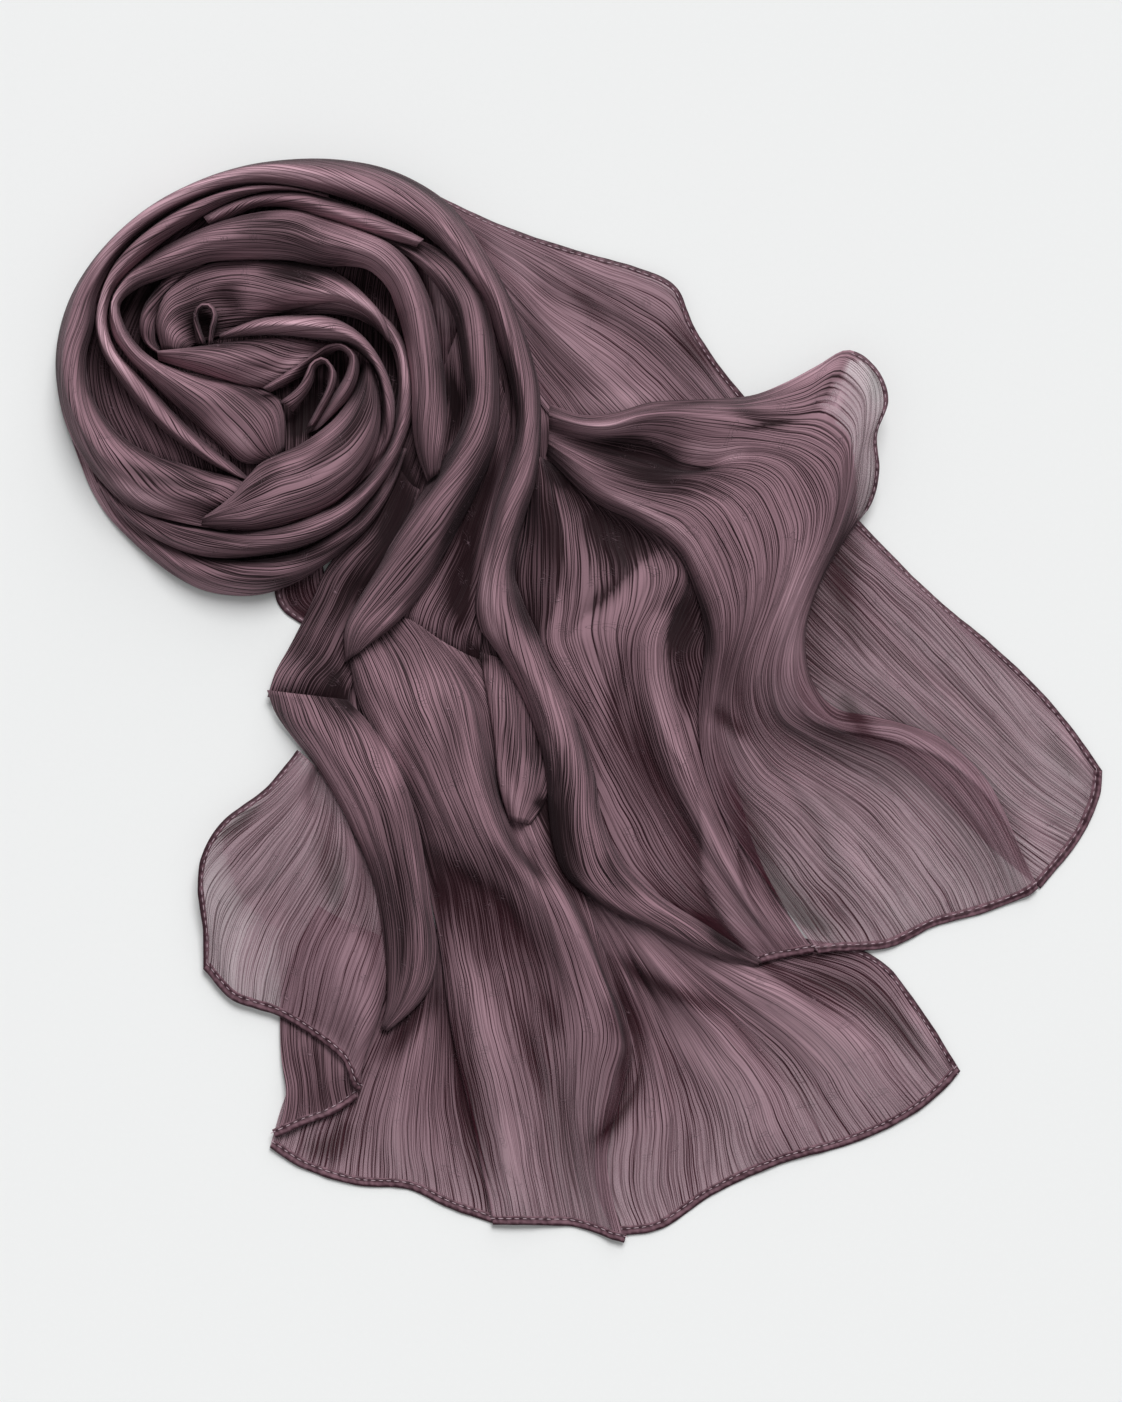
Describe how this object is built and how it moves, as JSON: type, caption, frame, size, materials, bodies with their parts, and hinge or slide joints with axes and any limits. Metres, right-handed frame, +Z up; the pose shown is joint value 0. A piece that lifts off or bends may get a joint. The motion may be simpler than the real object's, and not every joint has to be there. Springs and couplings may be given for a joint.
{
  "type": "chiffon scarf",
  "caption": "Long sheer chiffon scarf laid on a surface, wound into a coil at one corner, with its gathered rolls opening into two spread, hemmed ends.",
  "frame": {"origin": "centre of the laid scarf's plan box, on the surface it lies on", "axes": "+Z up from the surface, the coil towards -X and +Y, the spread ends towards +X and -Y"},
  "size_m": [0.7322, 0.7584, 0.0448],
  "materials": {
    "chiffon": "sheer crinkled chiffon, soft low sheen",
    "hem": "narrow turned hem of the same chiffon",
    "thread": "matt sewing thread"
  },
  "bodies": {
    "root": {"hidden_layers": "chiffon", "corner_tab": "chiffon", "under_streams": "chiffon", "long_side": "chiffon", "lower_right": "chiffon", "lower_left": "chiffon", "left_middle": "chiffon", "valley_between": "chiffon", "inner_right": "chiffon", "sweep": "chiffon", "left_upper": "chiffon", "lower_main": "chiffon", "bulge_roll": "chiffon", "left_flap": "chiffon", "left_lower": "chiffon", "stream_left": "chiffon", "coil_under_turn": "chiffon", "coil_lower_turn": "chiffon", "coil_inner_edge": "chiffon", "coil_inner_turn": "chiffon", "coil_third_turn": "chiffon", "coil_wide_turn": "chiffon", "coil_second_turn": "chiffon", "outer_turn": "chiffon", "coil_centre": "chiffon", "core_loop_edge": "chiffon", "coil_lip": "chiffon", "coil_front_turn": "chiffon", "loop_strand": "chiffon", "loop_inner": "chiffon"}
  },
  "joints": []
}
